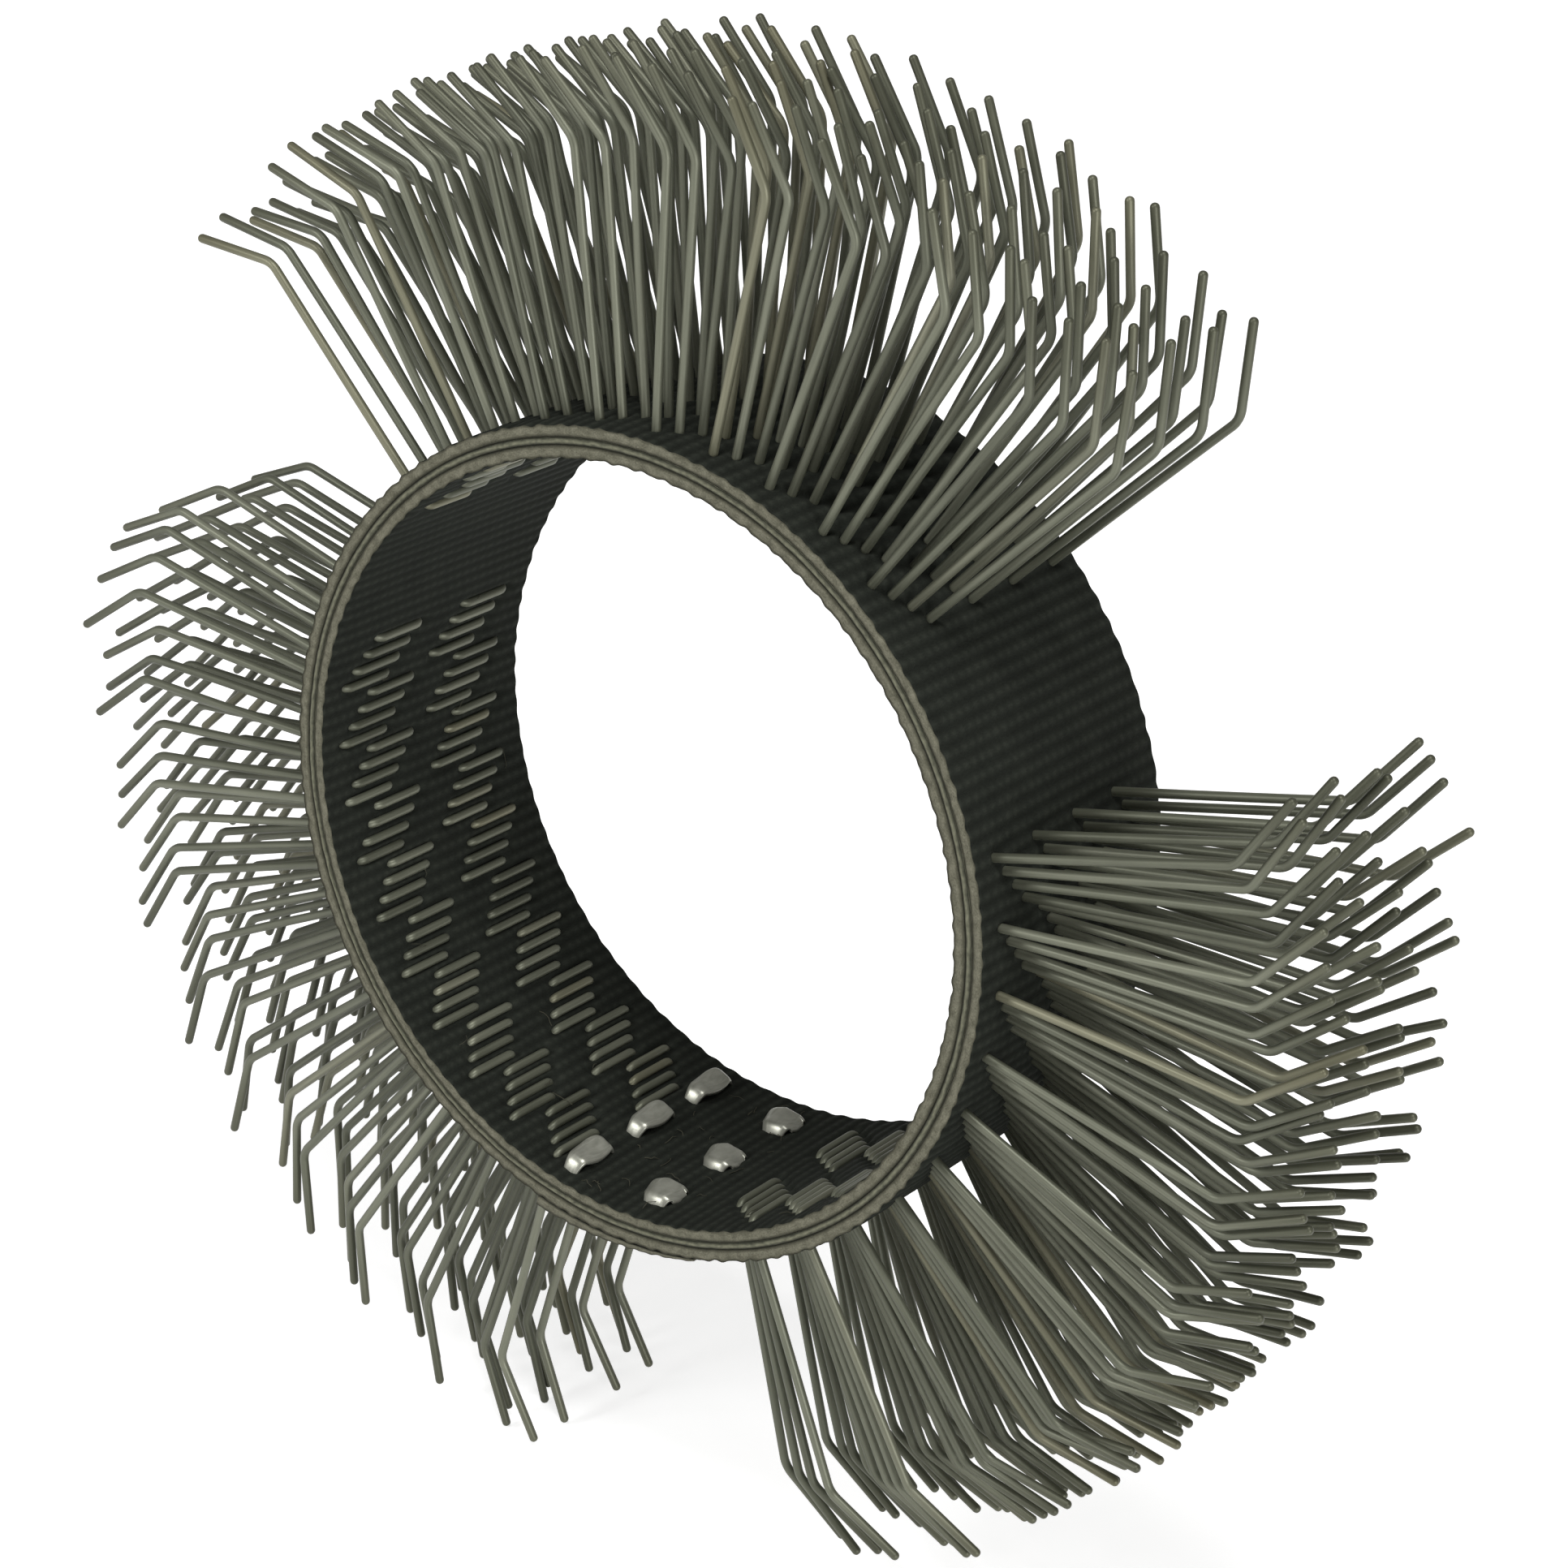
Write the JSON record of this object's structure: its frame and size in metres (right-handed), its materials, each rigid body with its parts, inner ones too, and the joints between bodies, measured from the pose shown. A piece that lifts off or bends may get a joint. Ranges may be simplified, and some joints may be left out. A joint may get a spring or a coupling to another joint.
{
  "type": "rotary wire brush belt",
  "caption": "Closed woven belt with bent spring-wire bristles in clusters, slipped over a round hub of a rotary tool to strip and roughen metal surfaces.",
  "frame": {"origin": "centre of the round bore, on the turning axis, midway between the two band edges", "axes": "+Y along the turning axis, +X and +Z across it; the tips bend from +X towards +Z, and the lap joint is in the lowest gap"},
  "size_m": [0.1148, 0.023, 0.1144],
  "materials": {
    "woven_band": "black rubberised woven fabric, cross-ribbed, raw olive edges",
    "rubber_layer": "dull dark olive rubber",
    "spring_wire": "drawn grey spring steel, slightly oiled",
    "clinch_steel": "smooth bright flat wire"
  },
  "bodies": {
    "root": {"inner_ply": "woven_band", "rubber_core": "rubber_layer", "outer_ply": "woven_band", "lap_strip": "woven_band", "lap_staples": "clinch_steel", "bristles_a01": "spring_wire", "bristles_a02": "spring_wire", "bristles_a03": "spring_wire", "bristles_a04": "spring_wire", "bristles_a05": "spring_wire", "bristles_a06": "spring_wire", "bristles_a07": "spring_wire", "bristles_a08": "spring_wire", "bristles_a09": "spring_wire", "bristles_a10": "spring_wire", "bristles_b01": "spring_wire", "bristles_b02": "spring_wire", "bristles_b03": "spring_wire", "bristles_b04": "spring_wire", "bristles_b05": "spring_wire", "bristles_b06": "spring_wire", "bristles_b07": "spring_wire", "bristles_b08": "spring_wire", "bristles_b09": "spring_wire", "bristles_b10": "spring_wire", "bristles_c01": "spring_wire", "bristles_c02": "spring_wire", "bristles_c03": "spring_wire", "bristles_c04": "spring_wire", "bristles_c05": "spring_wire", "bristles_c06": "spring_wire", "bristles_c07": "spring_wire", "bristles_c08": "spring_wire", "bristles_c09": "spring_wire", "bristles_c10": "spring_wire"}
  },
  "joints": []
}
